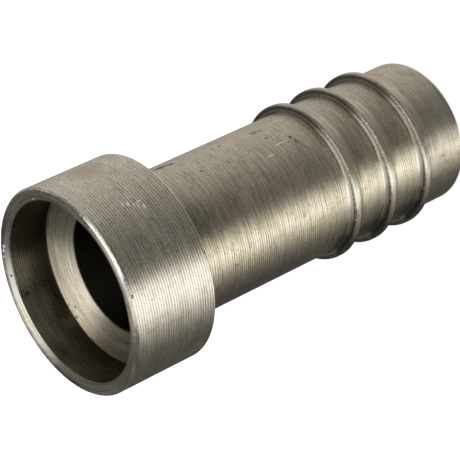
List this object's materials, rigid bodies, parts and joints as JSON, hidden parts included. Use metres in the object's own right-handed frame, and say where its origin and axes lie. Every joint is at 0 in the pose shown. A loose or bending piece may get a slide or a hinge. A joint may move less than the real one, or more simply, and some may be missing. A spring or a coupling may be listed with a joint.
{
  "type": "weld-on hose barb",
  "caption": "One-piece turned steel hose barb with a weld socket collar, a plain shank, ring barbs and a straight through passage.",
  "frame": {"origin": "centre of the nose end face, which the part stands on", "axes": "+Z along the turning axis, from the hose end to the mouth of the weld socket"},
  "size_m": [0.035, 0.035, 0.0758],
  "materials": {
    "turned_steel": "bare turned carbon steel with visible feed marks, a little stained and rust-specked"
  },
  "bodies": {
    "root": {"hose_barb": "turned_steel"}
  },
  "joints": []
}
